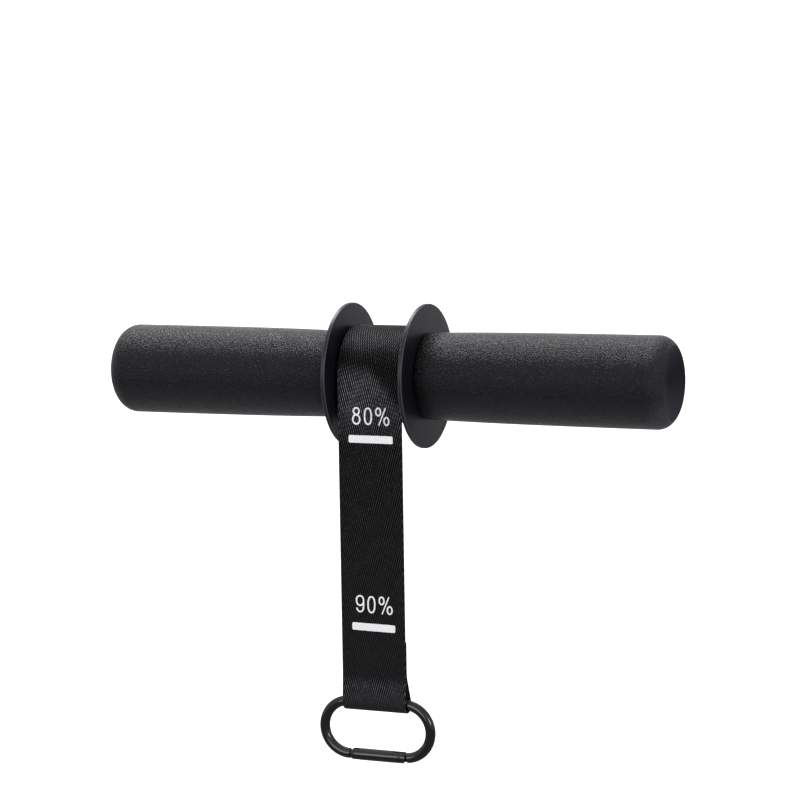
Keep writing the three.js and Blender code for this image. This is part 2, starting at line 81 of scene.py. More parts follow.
# The gate's two pins, along X from the carabiner's middle
HINGE = (HINGE_PIN_LOW.x + HINGE_PIN_HIGH.x) / 2.0 - BODY_MIDDLE.x
CATCH = (CATCH_PIN_LOW.x + CATCH_PIN_HIGH.x) / 2.0 - BODY_MIDDLE.x
CATCH_TO_NOTCH = 0.0012  # from the catch pin's middle to either side of the nose's notch
NOSE_LIP = 0.0011  # thickness of the nose beyond its notch
END_FACE = GRIP_HIGH.x - 0.0029  # where a grip's smooth end face begins
LAYER_GAP = 0.00005  # air between the strap and the end sewn up behind it
WEAVE_REPEAT = 0.0048  # length of the weave's pattern along the cloth
SUNK = 0.00003  # how deep the print's underside lies in the webbing
ON_AXIS = 1e-7  # a smaller radius is a point on the axis
TURN = 2.0 * math.pi


def length(name, value, about):
    """A length in metres that the user can change."""
    return FloatProperty(
        name=name, description=about, default=value, min=0.0, unit="LENGTH", precision=5)


def offset(name, value, about):
    """A length that may be negative."""
    return FloatProperty(name=name, description=about, default=value, unit="LENGTH", precision=5)


def angle_of(name, degrees, about):
    """An angle, given in degrees."""
    return FloatProperty(
        name=name, description=about, default=math.radians(degrees), subtype="ANGLE")


def number(name, value, about, least=0.0, unit="NONE"):
    """A plain number."""
    return FloatProperty(name=name, description=about, default=value, min=least, unit=unit)


def colour(name, value, about):
    """A linear colour."""
    return FloatVectorProperty(
        name=name, description=about, default=value, size=3, min=0.0, max=1.0, subtype="COLOR")


class RollerSizes(bpy.types.PropertyGroup):
    """Sizes of the visible pieces"""

    grip_root_radius: length("Grip root radius", 0.0240, "Grip's radius where it meets the flange")
    grip_swell: length("Grip swell", 0.053, "Length over which the grip swells to its full radius")
    grip_end: length("Grip end", 0.0113, "Length over which the grip's end rounds off")
    tube_clear_radius: length("Tube bore", 0.013, "Bore of grips and flanges, round the tube")
    flange_edge: length("Flange edge radius", 0.0006, "Rounding of the flange's rim")
    webbing: length("Webbing thickness", 0.0012, "Thickness of the webbing")
    turn_gap: length("Turn gap", 0.00006, "Air between two turns of the wound webbing")
    mark_stroke: length("Stroke width", 0.00090, "Width of the strokes of the printed marks")
    ink: length("Ink thickness", 0.00007, "How far the print stands proud of the webbing")
    stitch: length("Stitch length", 0.0024, "Length of one stitch of the seam")
    thread: length("Thread radius", 0.00024, "Radius of the sewing thread")
    rod_radius: length("Rod radius", 0.00285, "Radius of the carabiner's rod")
    gate_radius: length("Gate radius", 0.0033, "Radius of the carabiner's gate")


class RollerFinishes(bpy.types.PropertyGroup):
    """Colours of the finishes"""

    foam: colour("Foam", (0.0079, 0.0079, 0.0093), "Grip foam")
    foam_end: colour("Foam end", (0.0235, 0.0225, 0.0285), "Smooth end face of the grip foam")
    flange: colour("Flange", (0.0052, 0.0048, 0.0092), "Satin black flange")
    # The painted highlight colour on the flange's rim and its rounded edges
    flange_edge_highlight: colour("Flange rim", (0.0560, 0.0550, 0.0630), "Rubbed edges of the flange")
    web_groove: colour("Webbing groove", (0.0004, 0.0004, 0.0005), "Webbing between its threads")
    web_thread: colour("Webbing thread", (0.0430, 0.0424, 0.0465), "Top of the webbing's threads")
    seam: colour("Seam thread", (0.0040, 0.0040, 0.0044), "Black sewing thread of the seam")
    ink: colour("Print", (0.92, 0.92, 0.94), "White print on the webbing")
    rod: colour("Anodised rod", (0.0022, 0.0022, 0.0024), "Black anodised carabiner")
    plastic: colour("Plastic", (0.0140, 0.0140, 0.0150), "Moulded black plastic")
    steel: colour("Steel", (0.55, 0.55, 0.56), "Zinc plated steel")


class RollerStudio(bpy.types.PropertyGroup):
    """Camera, lamps and floor"""

    distance: length("Camera distance", 1.416, "Camera to the middle of the bar")
    azimuth: angle_of("Azimuth", 22.69, "Camera's turn to the right")
    elevation: angle_of("Elevation", 6.11, "Camera's height as an angle")
    roll: angle_of("Roll", -0.94, "Camera's tilt about its line of sight")
    focal: number("Focal length", 116.07, "Lens on a 36 mm sensor, in mm", 1.0, "CAMERA")
    aim_right: offset("Aim right", 0.00345, "Aim point to the right of the bar's middle")
    aim_down: offset("Aim down", 0.01117, "Aim point below the bar's middle")
    floor_height: offset("Floor height", -1.00, "Height of the floor")
    key: number("Top lamp", 4.3, "Strength of the soft lamp above and behind")
    side: number("Side lamp", 1.0, "Strength of the narrow lamp on the right")
    front: number("Front lamp", 1.75, "Strength of the wide lamp in front")
    fill: number("Sky", 0.25, "Strength of the even light from all round")


# ---------------------------------------------------------------- meshes


def new_piece(name, points, faces, maps=None):
    """An object from points and faces, with smooth faces and, if given, a flat map per corner."""
    mesh = bpy.data.meshes.new(name)
    mesh.from_pydata([tuple(p) for p in points], [], faces)
    if maps:
        layer = mesh.uv_layers.new(name="webbing")
        for loop in mesh.loops:
            layer.data[loop.index].uv = maps[loop.vertex_index]
    mesh.polygons.foreach_set("use_smooth", [True] * len(mesh.polygons))
    piece = bpy.data.objects.new(name, mesh)
    bpy.context.scene.collection.objects.link(piece)
    return piece


def turned_outwards(piece):
    """The piece's mesh, open for work, with every face looking out."""
    work = bmesh.new()
    work.from_mesh(piece.data)
    bmesh.ops.recalc_face_normals(work, faces=work.faces)
    return work


def kept(piece, work):
    """The piece with the worked mesh put back."""
    work.to_mesh(piece.data)
    work.free()
    return piece


def sharpen(piece, degrees=35.0):
    """Edges that turn by more than this are drawn sharp, the rest smooth."""
    work = turned_outwards(piece)
    limit = math.radians(degrees)
    for edge in work.edges:
        edge.smooth = len(edge.link_faces) == 2 and edge.calc_face_angle(0.0) < limit
    for face in work.faces:
        face.smooth = True
    return kept(piece, work)


def circle(sides):
    """Cosine and sine of each corner of a round section."""
    return [(math.cos(TURN * i / sides), math.sin(TURN * i / sides)) for i in range(sides)]


def skin(rows, count, first=0):
    """Faces that join rows of count points each, and close both ends."""
    faces = []
    for i in range(rows - 1):
        here, ahead = first + i * count, first + (i + 1) * count
        for k in range(count):
            j = (k + 1) % count
            faces.append([here + k, here + j, ahead + j, ahead + k])
    faces.append([first + k for k in range(count - 1, -1, -1)])
    faces.append([first + (rows - 1) * count + k for k in range(count)])
    return faces


def lathe(name, profile, sides, mirror=False, ring=False):
    """A profile of (x, radius) turned about the X axis. A ring's profile closes on itself."""
    points, rows = [], []
    for x, radius in profile:
        along = -x if mirror else x
        if radius < ON_AXIS:
            rows.append([len(points)])
            points.append((along, 0.0, 0.0))
            continue
        rows.append(list(range(len(points), len(points) + sides)))
        points += [(along, radius * c, radius * s) for c, s in circle(sides)]
    faces = []
    for a, b in zip(rows, rows[1:] + rows[:1] if ring else rows[1:]):
        for i in range(sides):
            j = (i + 1) % sides
            face = [a[i % len(a)], a[j % len(a)], b[j % len(b)], b[i % len(b)]]
            face = [p for k, p in enumerate(face) if p not in face[:k]]
            if len(face) > 2:
                faces.append(face)
    return sharpen(new_piece(name, points, faces))


def arc(centre, radii, start, end, steps):
    """Points on an ellipse's arc, both ends included, angles in degrees."""
    found = []
    for i in range(steps + 1):
        angle = math.radians(start + (end - start) * i / steps)
        found.append(
            (centre[0] + radii[0] * math.cos(angle), centre[1] + radii[1] * math.sin(angle)))
    return found


def combined(piece, tool, operation):
    """Joins a piece with a tool, cuts it or keeps what is inside the tool, which is used up."""
    modifier = piece.modifiers.new("Boolean", "BOOLEAN")
    modifier.operation, modifier.solver, modifier.object = operation, "EXACT", tool
    bpy.context.view_layer.update()
    graph = bpy.context.evaluated_depsgraph_get()
    mesh = bpy.data.meshes.new_from_object(piece.evaluated_get(graph))
    piece.modifiers.clear()
    old, piece.data, spent = piece.data, mesh, tool.data
    bpy.data.objects.remove(tool)
    bpy.data.meshes.remove(old)
    bpy.data.meshes.remove(spent)
    mesh.name = piece.name


def rectangle(left, right, half_height):
    """A rectangle's corners, centred on the line it lies along."""
    return [(left, -half_height), (right, -half_height), (right, half_height), (left, half_height)]


def prism(name, outline, thickness, place=(0.0, 0.0, 0.0)):
    """An outline of (x, z) points pushed along Y, centred there."""
    half = thickness / 2.0
    count = len(outline)
    points = [(x, -half, z) for x, z in outline] + [(x, half, z) for x, z in outline]
    piece = new_piece(name, points, skin(2, count))
    piece.data.transform(Matrix.Translation(Vector(place)))
    return sharpen(piece)


def softened(outline, radius, steps=4):
    """A polygon with each corner rounded."""
    most = 0.45  # a corner takes no more of an edge than this
    found = []
    for i, point in enumerate(outline):
        here = Vector(point)
        before = Vector(outline[i - 1]) - here
        after = Vector(outline[(i + 1) % len(outline)]) - here
        reach = min(radius, before.length * most, after.length * most)
        start = here + before.normalized() * reach
        end = here + after.normalized() * reach
        for k in range(steps + 1):
            t = k / steps
            found.append(tuple(start * (1 - t) ** 2 + here * 2 * t * (1 - t) + end * t ** 2))
    return found


def direction(line, i):
    """The way a line of Vectors runs at one of its points, not yet of length one."""
    return line[min(i + 1, len(line) - 1)] - line[max(i - 1, 0)]


def rod_along(name, places, radii, sides):
    """A round rod along places that lie in an X-Z plane, closed at both ends."""
    across = Vector((0.0, 1.0, 0.0))
    points = []
    for i, place in enumerate(places):
        side = direction(places, i).normalized().cross(across).normalized()
        points += [place + radii[i] * (side * c + across * s) for c, s in circle(sides)]
    return sharpen(new_piece(name, points, skin(len(places), sides)))


# ---------------------------------------------------------------- webbing


def webbing_section(half_width, thickness):
    """The webbing's section as (across, height) points round it, with rolled selvedges."""
    columns = 26  # faces across the webbing
    roll, steps = 68, 6  # degrees that a selvedge turns above and below level, and its faces
    edge = thickness / 2.0
    inner = half_width - edge
    top = [(-inner + 2.0 * inner * i / columns, edge) for i in range(columns + 1)]
    right = [(inner + x, z) for x, z in arc((0, 0), (edge, edge), roll, -roll, steps)]
    bottom = [(x, -z) for x, z in reversed(top)]
    left = [(-x, -z) for x, z in right]
    return top + right + bottom + left


def webbing_piece(name, places, middle_x, half_width, thickness, start=0.0, drift=None):
    """Webbing along places of ((y, z), (normal y, normal z)). Its map holds metres across and
    along. The drift, if given, moves it sideways by its share of the way along."""
    section = webbing_section(half_width, thickness)
    points, maps = [], []
    run, last = start, places[0][0]
    for i, ((y, z), (ny, nz)) in enumerate(places):
        run += math.hypot(y - last[0], z - last[1])
        last = (y, z)
        aside = drift(i / (len(places) - 1)) if drift else 0.0
        for x, height in section:
            points.append((middle_x + aside + x, y + ny * height, z + nz * height))
            maps.append((x, run))
    piece = new_piece(name, points, skin(len(places), len(section)), maps)
    work = turned_outwards(piece)
    for face in work.faces:
        face.smooth = len(face.verts) == 4
    return kept(piece, work)


def spiral(outer_radius, pitch, thickness, turns, crown):
    """Places of a winding's middle line, from the front of the roll over its top and inwards. The
    crown is how much further out it lies on top."""
    steps = 96  # places in a turn
    found = []
    for i in range(int(turns * steps) + 1):
        c, s = math.cos(TURN * i / steps), math.sin(TURN * i / steps)
        radius = outer_radius - pitch * i / steps - thickness / 2.0 + crown * max(0.0, s) ** 2
        found.append(((-radius * c, radius * s), (-c, s)))
    return found


def walked_along(places):
    """The length of a line of webbing places."""
    return sum(math.dist(a[0], b[0]) for a, b in zip(places, places[1:]))


# ---------------------------------------------------------------- materials

WHITE = (1.0, 1.0, 1.0, 1.0)


class Nodes:
    """Short ways to make and join the nodes of one material or sky. Scales are in waves per metre
    or so, and a plain number can stand wherever a node's output can."""

    def __init__(self, name, kind="materials"):
        self.owner = getattr(bpy.data, kind).new(name)
        self.owner.use_nodes = True
        self.tree = self.owner.node_tree

    @property
    def shader(self):
        return self.tree.nodes["Principled BSDF"]

    def node(self, kind, **settings):
        made = self.tree.nodes.new(kind)
        for key, value in settings.items():
            setattr(made, key, value)
        return made

    def fed(self, kind, inputs, **settings):
        """A node whose inputs are given by name or number, as values or as other outputs."""
        made = self.node(kind, **settings)
        for key, value in inputs.items():
            if isinstance(value, bpy.types.NodeSocket):
                self.tree.links.new(value, made.inputs[key])
            else:
                made.inputs[key].default_value = value
        return made

    def set(self, **values):
        """Plain values on the shader's own sockets."""
        for key, value in values.items():
            self.shader.inputs[key.replace("_", " ")].default_value = value

    def place(self):
        """Object coordinates, which are the CAD's."""
        return self.node("ShaderNodeTexCoord").outputs["Object"]

    def part(self, source, axis):
        """One of a vector's three values."""
        return self.fed("ShaderNodeSeparateXYZ", {0: source}).outputs[axis]

    def facing(self, axis):
        """How far the surface faces along X, Y or Z."""
        return self.part(self.node("ShaderNodeTexCoord").outputs["Normal"], axis)

    def stretched(self, source, scale):
        """Coordinates with a scale of their own along each axis."""
        return self.fed("ShaderNodeMapping", {"Vector": source, "Scale": scale}).outputs["Vector"]

    def noise(self, source, scale=1.0, detail=2.0, rough=0.5):
        inputs = {"Vector": source, "Scale": scale, "Detail": detail, "Roughness": rough}
        return self.fed("ShaderNodeTexNoise", inputs).outputs["Fac"]

    def grains(self, source, scale):
        """Distance from the middles of scattered cells."""
        inputs = {"Vector": source, "Scale": scale}
        return self.fed("ShaderNodeTexVoronoi", inputs).outputs["Distance"]

    def math(self, operation, *values):
        return self.fed("ShaderNodeMath", dict(enumerate(values)), operation=operation).outputs[0]

    def chain(self, operation, first, *others):
        for other in others:
            first = self.math(operation, first, other)
        return first

    def times(self, *values):
        return self.chain("MULTIPLY", *values)

    def plus(self, *values):
        return self.chain("ADD", *values)

    def larger(self, *values):
        return self.chain("MAXIMUM", *values)

    def minus(self, first, second):
        return self.math("SUBTRACT", first, second)

    def over(self, first, second):
        return self.math("DIVIDE", first, second)

    def line(self, value, slope, offset):
        """The value times a slope, plus an offset."""
        return self.math("MULTIPLY_ADD", value, slope, offset)

    def unsigned(self, value):
        return self.math("ABSOLUTE", value)

    def spread(self, source, low, high, to_low=0.0, to_high=1.0):
        """A ramp: low turns into to_low and high into to_high, and beyond them it stays level."""
        inputs = {"From Min": low, "From Max": high, "To Min": to_low, "To Max": to_high}
        return self.fed("ShaderNodeMapRange", {"Value": source, **inputs}).outputs["Result"]

    def varied(self, noise, to_low, to_high):
        """A ramp over the middle values that a noise mostly has."""
        return self.spread(noise, 0.3, 0.7, to_low, to_high)

    def band(self, source, middle, reach=0.0100, core=0.002):
        """1 around a place, out to its core, and 0 beyond its reach."""
        return self.spread(self.unsigned(self.plus(source, -middle)), reach, core)

    def tint(self, share, first, second):
        """A colour between two."""
        inputs = {"A": (*first, 1.0), "B": (*second, 1.0), "Factor": share}
        return self.fed("ShaderNodeMix", inputs, data_type="RGBA").outputs["Result"]

    def tones(self, share, base, dark, light):
        """A colour between a darker and a lighter tone of itself."""
        return self.tint(share, scaled_colour(base, dark), scaled_colour(base, light))

    def bump(self, height, depth, strength, **under):
        inputs = {"Height": height, "Distance": depth, "Strength": strength, **under}
        return self.fed("ShaderNodeBump", inputs).outputs["Normal"]

    def finish(self, tone, rough=None, normal=None):
        for source, key in ((tone, "Base Color"), (rough, "Roughness"), (normal, "Normal")):
            if source is not None:
                self.tree.links.new(source, self.shader.inputs[key])
        return self.owner


def scaled_colour(value, factor):
    """A colour made darker or lighter."""
    return tuple(min(1.0, channel * factor) for channel in value)


def foam_material(base):
    """Closed-cell foam: a coarse sandy skin with pores and a soft dusty sheen. Its colour holds
    painted shade by the flange, painted light near the end and painted bounce light below.
    """
    n = Nodes("sandy_foam")
    place = n.place()
    sand = n.noise(place, scale=1300.0, rough=0.6)
    pores = n.grains(place, scale=1000.0)
    broad = n.noise(place, scale=45.0)
    speck = n.times(n.spread(sand, 0.38, 0.62), n.spread(pores, 0.0, 0.6, 0.55, 1.1))
    mottled = n.plus(n.times(speck, 0.9), n.times(broad, 0.08))
    out = n.unsigned(n.part(place, 0))
    # Painted shade: the foam darkens towards the flange, where the flange shades it
    painted_shade_by_flange = n.spread(out, GRIP_LOW.x + 0.001, GRIP_LOW.x + 0.012, 0.15, 1.0)
    # Painted light: the foam grows lighter near its end, standing in for the gloss there
    painted_light_by_end = n.spread(out, GRIP_HIGH.x - 0.012, GRIP_HIGH.x - 0.004, 1.0, 2.2)
    # Painted bounce light: the foam is lighter on its lower side, as if lit from below
    painted_bounce_underside = n.spread(n.part(place, 2), -0.006, -0.020, 0.31, 1.0)
    shade = n.times(n.line(mottled, 0.45, 0.32), n.times(painted_shade_by_flange, painted_light_by_end, painted_bounce_underside))
    dull = n.spread(out, GRIP_HIGH.x - 0.0090, END_FACE, 0.0, 0.3)
    rough = n.plus(n.spread(sand, 0.36, 0.64, 0.37, 0.14), dull)
    n.set(Specular_IOR_Level=0.105, Specular_Tint=(0.935, 0.935, 1.0, 1.0))
    n.set(Sheen_Weight=0.06, Sheen_Roughness=0.25)
    normal = n.bump(speck, depth=0.0004, strength=0.5)
    return n.finish(n.tones(shade, base, 0.05, 6.0), rough, normal)


def foam_end_material(base):
    """The foam's end face, pressed smooth: a touch purple, without the skin's sheen, and with
    painted light at its top, at its bottom and where the skin begins."""
    n = Nodes("smooth_foam_end")
    place = n.place()
    pores = n.grains(place, scale=1400.0)
    cloudy = n.noise(place, scale=160.0, detail=3.0)
    out, high = n.unsigned(n.part(place, 0)), n.part(place, 2)
    # Painted light: lighter towards the face's top and bottom, and where the skin begins
    painted_light_on_end = n.larger(n.spread(high, 0.002, -0.022), n.spread(high, 0.008, 0.030, 0.0, 0.6))
    painted_light_on_end = n.plus(painted_light_on_end, n.spread(out, END_FACE, GRIP_HIGH.x - 0.0012, 0.25, 0.0))
    tone = n.tones(n.line(cloudy, 0.25, painted_light_on_end), base, 0.75, 2.4)
    normal = n.bump(pores, depth=0.0001, strength=0.3)
    n.set(Specular_IOR_Level=0.0)
    return n.finish(tone, n.varied(cloudy, 0.6, 0.75), normal)


def flange_material(base, painted_highlight_tone):
    """Satin black moulding with a very fine spark-eroded grain, a faint random mottling, and a
    painted highlight on its rim and the rounded edges beside it.
    """
    n = Nodes("flange_satin_black")
    place = n.place()
    fine = n.noise(place, scale=2600.0, rough=0.6)
    cloudy = n.noise(place, scale=60.0, detail=3.0)
    sideways = n.unsigned(n.facing(0))
    # Painted highlight: the rim is a little lighter and its rounded edges lighter still, standing in
    # for glints of the lamps
    rim = n.spread(sideways, 0.5, 0.1, 0.0, 0.2)
    painted_edge_highlight = n.times(n.spread(sideways, 0.1, 0.3), n.spread(sideways, 0.98, 0.85))
    # worn holds these painted highlights together with a faint random mottling
    worn = n.larger(rim, painted_edge_highlight, n.times(cloudy, 0.04))
    tone = n.tint(worn, scaled_colour(base, 0.85), painted_highlight_tone)
    normal = n.bump(fine, depth=0.0001, strength=0.35)
    n.set(Specular_IOR_Level=0.160, Specular_Tint=(0.90, 0.86, 1.0, 1.0))
    return n.finish(tone, n.varied(cloudy, 0.32, 0.40), normal)


def weave(n, across, along):
    """Height of the weave from metres across and along: narrow columns of floats, each column's
    about half a repeat on from the next, mirrored about the middle. Also a chance per float."""
    column_pitch, stagger = 0.00062, 0.46
    float_share = 0.56  # share of the repeat in which the thread is on top
    columns = n.over(across, column_pitch)
    column = n.math("FLOOR", columns)
    steps = n.times(n.unsigned(column), stagger)
    repeats = n.plus(n.over(along, WEAVE_REPEAT), steps)
    across_wave = n.math("SINE", n.times(n.minus(columns, column), math.pi))
    reach = n.math("MINIMUM", n.over(n.math("FRACT", repeats), float_share), 1.0)
    along_wave = n.larger(n.math("SINE", n.times(reach, math.pi)), 0.0)
    height = n.times(n.math("POWER", across_wave, 0.8), n.math("POWER", along_wave, 0.5))
    spot = n.fed("ShaderNodeCombineXYZ", {0: column, 1: n.math("FLOOR", repeats)}).outputs[0]
    chance = n.fed("ShaderNodeTexWhiteNoise", {"Vector": spot}, noise_dimensions="2D")
    return height, chance.outputs["Value"]


def painted_webbing_light(n, across, along):
    """Painted light and shade on the webbing: lighter over the roll's top, a painted highlight high
    on the roll, a painted shade band under it, a painted pool of light below that with a painted
    flange shadow cutting it off on the right, and painted light at the loop. Along runs down the
    strap from the bar's height, and is negative up the roll."""
    # Painted top light over the roll, and a painted highlight high on it
    crown = n.spread(along, -0.014, -0.024)
    painted_brow_highlight = n.band(along, -0.0240)
    # Painted shade: a dark band across the roll's front
    dark = n.band(n.line(across, -0.17, along), -0.0070)
    # A painted pool of light under the roll
    painted_light_patch = n.times(n.spread(along, -0.009, -0.001), n.spread(along, 0.012, 0.036, 1.0, 0.0))
    # Painted shadow: the right flange's shadow cuts the light off on the right
    aside = n.minus(across, n.line(along, 0.75, 0.005))
    painted_light_patch = n.times(painted_light_patch, n.spread(aside, 0.003, -0.003))
    # Painted light at the loop
    loop = n.times(n.spread(along, 0.165, 0.170), n.spread(along, 0.172, 0.182, 1.0, 0.25))
    painted_light_factor = n.line(crown, 0.5, 1.0)
    for place, amount in ((painted_brow_highlight, 2.0), (dark, -0.5), (painted_light_patch, 3.0), (loop, 1.7)):
        painted_light_factor = n.line(place, amount, painted_light_factor)
    return painted_light_factor


def crispness(n, along):
    """How far the floats stand out: most on the bent webbing, least low on the hanging strap."""
    roll = n.spread(along, -0.020, -0.013, 1.0, 1.9)
    top = n.spread(along, 0.012, 0.050, 1.0, 0.52)
    low = n.spread(along, 0.050, 0.150, 1.0, 0.6)
    loop = n.plus(
        n.spread(along, 0.163, 0.168, 0.0, 0.4), n.spread(along, 0.173, 0.178, 0.0, -0.45))
    return n.plus(n.times(roll, top, low), loop)


def webbing_material(name, finishes, mapped):
    """Woven nylon: raised floats over dark grooves, laid by the cloth's own map or by its place,
    with painted light and shade along the cloth.
    """
    n = Nodes(name)
    if mapped:
        source = n.node("ShaderNodeUVMap", uv_map="webbing").outputs["UV"]
        across, along = n.part(source, 0), n.part(source, 1)
        light_and_crispness_at = along
    else:
        source = n.place()
        across, along = n.minus(n.part(source, 0), STRAP_MIDDLE), n.times(n.part(source, 2), -1.0)
        light_and_crispness_at = n.math("MINIMUM", along, 0.12)  # what pays out stays clear of the loop's painted light
    selvedge_width, knot_share, lightest = 0.0008, 0.3, 5.0
    height, chance = weave(n, across, along)
    selvedge = n.math("GREATER_THAN", n.unsigned(across), STRAP_HALF - selvedge_width)
    knot = n.math("LESS_THAN", n.math("FRACT", n.over(along, WEAVE_REPEAT)), knot_share)
    uneven = n.noise(source, scale=220.0)
    shade = n.times(height, n.spread(chance, 0.0, 1.0, 0.65, 1.05), n.varied(uneven, 0.8, 1.0))
    crisp = crispness(n, light_and_crispness_at)
    shade = n.larger(n.line(shade, crisp, n.times(n.minus(1.0, crisp), 0.3)), 0.0)
    knots = n.times(selvedge, n.line(knot, 0.45, 0.15))
    shade = n.plus(n.times(shade, n.minus(1.0, selvedge)), knots)
    # Painted light and shade along the cloth, from its place on the roll and strap
    shade = n.times(shade, n.over(painted_webbing_light(n, across, light_and_crispness_at), lightest))
    tone = n.tint(shade, finishes.web_groove, scaled_colour(finishes.web_thread, lightest))
    fuzz = n.noise(n.stretched(source, (9000.0, 1800.0, 1800.0)))
    normal = n.bump(height, depth=0.00022, strength=0.9)
    normal = n.bump(fuzz, depth=0.00004, strength=0.4, Normal=normal)
    n.set(Specular_IOR_Level=0.04, Sheen_Weight=0.05, Sheen_Roughness=0.4)
    return n.finish(tone, n.spread(height, 0.0, 1.0, 0.9, 0.5), normal)


def ink_material(base):
    """White ink printed on the weave, so that the threads show through a little."""
    n = Nodes("white_print")
    place = n.place()
    height, _ = weave(n, n.part(place, 0), n.times(n.part(place, 2), -1.0))
    worn = n.noise(place, scale=900.0)
    cover = n.plus(n.times(height, 0.5), n.times(worn, 0.5))
    tone = n.tones(n.spread(cover, 0.15, 0.6), base, 0.84, 1.0)
    n.set(Roughness=0.7, Specular_IOR_Level=0.2)
    return n.finish(tone, normal=n.bump(height, depth=0.00012, strength=0.5))


def rod_material(base):
    """Black anodised aluminium: polished, with faint handling marks, dull and dusty on top."""
    n = Nodes("anodised_black")
    place = n.place()
    cloudy = n.noise(place, scale=180.0, detail=3.0)
    marks = n.noise(n.stretched(place, (300.0, 2400.0, 2400.0)), detail=3.0, rough=0.7)
    dusty = n.spread(n.facing(2), 0.30, 0.60)
    rough = n.line(dusty, 0.70, n.spread(marks, 0.3, 0.75, 0.04, 0.10))
    normal = n.bump(marks, depth=0.00003, strength=0.35)
    n.set(Specular_IOR_Level=0.34)
    return n.finish(n.tones(cloudy, base, 0.8, 1.4), rough, normal)


def thread_material(base):
    """Twisted sewing thread."""
    n = Nodes("sewing_thread")
    inputs = {"Vector": n.place(), "Scale": 900.0}
    twist = n.fed("ShaderNodeTexWave", inputs, bands_direction="DIAGONAL").outputs["Fac"]
    normal = n.bump(twist, depth=0.00008, strength=0.6)
    n.set(Roughness=0.6, Specular_IOR_Level=0.1, Sheen_Weight=0.05)
    return n.finish(n.tones(twist, base, 0.5, 1.6), normal=normal)


def steel_material(name, base, polished, worn):
    """Plated or drawn steel with fine turning marks, its roughness between two values."""
    n = Nodes(name)
    place = n.place()
    lines = n.noise(n.stretched(place, (6000.0, 700.0, 700.0)))
    stain = n.noise(place, scale=140.0, detail=3.0)
    normal = n.bump(lines, depth=0.00003, strength=0.3)
    n.set(Metallic=1.0)
    return n.finish(n.tones(stain, base, 0.8, 1.0), n.varied(lines, polished, worn), normal)


def plastic_material(base):
    """Moulded black plastic with a fine grain."""
    n = Nodes("moulded_black_plastic")
    place = n.place()
    grain = n.noise(place, scale=1600.0)
    flow = n.noise(place, scale=70.0, detail=3.0)
    normal = n.bump(grain, depth=0.00008, strength=0.4)
    n.set(Specular_IOR_Level=0.4)
    return n.finish(n.tones(flow, base, 0.8, 1.3), n.varied(grain, 0.45, 0.62), normal)


def floor_material():
    """A pale floor that shows white to the camera where no shadow falls."""
    n = Nodes("pale_floor")
    speckle = n.noise(n.place(), scale=90.0)
    n.set(Roughness=0.9, Specular_IOR_Level=0.1, Emission_Color=WHITE)
    seen = n.node("ShaderNodeLightPath").outputs["Is Camera Ray"]
    n.tree.links.new(seen, n.shader.inputs["Emission Strength"])
    return n.finish(n.tint(speckle, (0.245, 0.245, 0.245), (0.255, 0.255, 0.255)))


def dress(piece, material):
    """One material all over the piece."""
    piece.data.materials.clear()
    piece.data.materials.append(material)
    return piece


# ---------------------------------------------------------------- pieces


class RollerOperator(bpy.types.Operator):
    """What every step shares"""

    bl_options = {"REGISTER", "UNDO"}


class ROLLER_OT_studio(RollerOperator):
    """Camera, sky, three soft lamps and a pale floor"""

    bl_idname = "roller.studio"
    bl_label = "Studio"

    def execute(self, context):
        scene, studio = context.scene, context.scene.roller_studio
        scene.view_settings.view_transform = "Standard"
        self.camera(scene, studio)
        self.sky(scene, studio)
        self.lamp(scene, "top_lamp", studio.key, 32.0, (-0.30, 0.34, 0.89))
        self.lamp(scene, "side_lamp", studio.side, 15.0, (0.85, -0.42, 0.32))
        self.lamp(scene, "front_lamp", studio.front, 40.0, (-0.2, -0.9, 0.2))
        reach = 30.0
        corners = rectangle(-reach, reach, reach)
        points = [(x, y, studio.floor_height) for x, y in corners]
        floor = new_piece("floor", points, [[0, 1, 2, 3]])
        floor.data.materials.append(floor_material())
        return {"FINISHED"}

    def lamp(self, scene, name, strength, wide, towards):
        """A soft lamp far away, as wide in degrees as it looks from the object."""
        light = bpy.data.lights.new(name, "SUN")
        light.energy = strength
        light.angle = math.radians(wide)
        lamp = bpy.data.objects.new(name, light)
        lamp.rotation_euler = Vector(towards).to_track_quat("Z", "Y").to_euler()
        scene.collection.objects.link(lamp)

    def camera(self, scene, studio):
        """Stands at the photograph's angle and aims a little beside the bar's middle."""
        sin, cos = math.sin, math.cos
        turn, rise, roll = studio.azimuth, studio.elevation, studio.roll
        back = Vector((sin(turn) * cos(rise), -cos(turn) * cos(rise), sin(rise)))
        level = Vector((cos(turn), sin(turn), 0.0))
        above = back.cross(level)
        right = level * cos(roll) + above * sin(roll)
        up = above * cos(roll) - level * sin(roll)
        place = back * studio.distance
        target = right * studio.aim_right - up * studio.aim_down
        back = (place - target).normalized()
        right = (right - back * right.dot(back)).normalized()
        up = back.cross(right)
        data = bpy.data.cameras.new("photo_camera")
        data.sensor_width = 36.0
        data.lens = studio.focal
        data.clip_start, data.clip_end = 0.05, 200.0
        camera = bpy.data.objects.new("photo_camera", data)
        turned = Matrix((right, up, back)).transposed().to_4x4()
        camera.matrix_world = Matrix.Translation(place) @ turned
        scene.collection.objects.link(camera)
        scene.camera = camera

    def sky(self, scene, studio):
        """White to the camera, in gloss and through glass, and a low even light on the object."""
        n = Nodes("studio_sky", "worlds")
        ray = n.node("ShaderNodeLightPath").outputs
        seen = n.larger(ray["Is Camera Ray"], ray["Is Glossy Ray"], ray["Is Transmission Ray"])
        background = n.tree.nodes["Background"].inputs
        background["Color"].default_value = WHITE
        n.tree.links.new(n.spread(seen, 0.0, 1.0, studio.fill, 1.0), background["Strength"])
        scene.world = n.owner


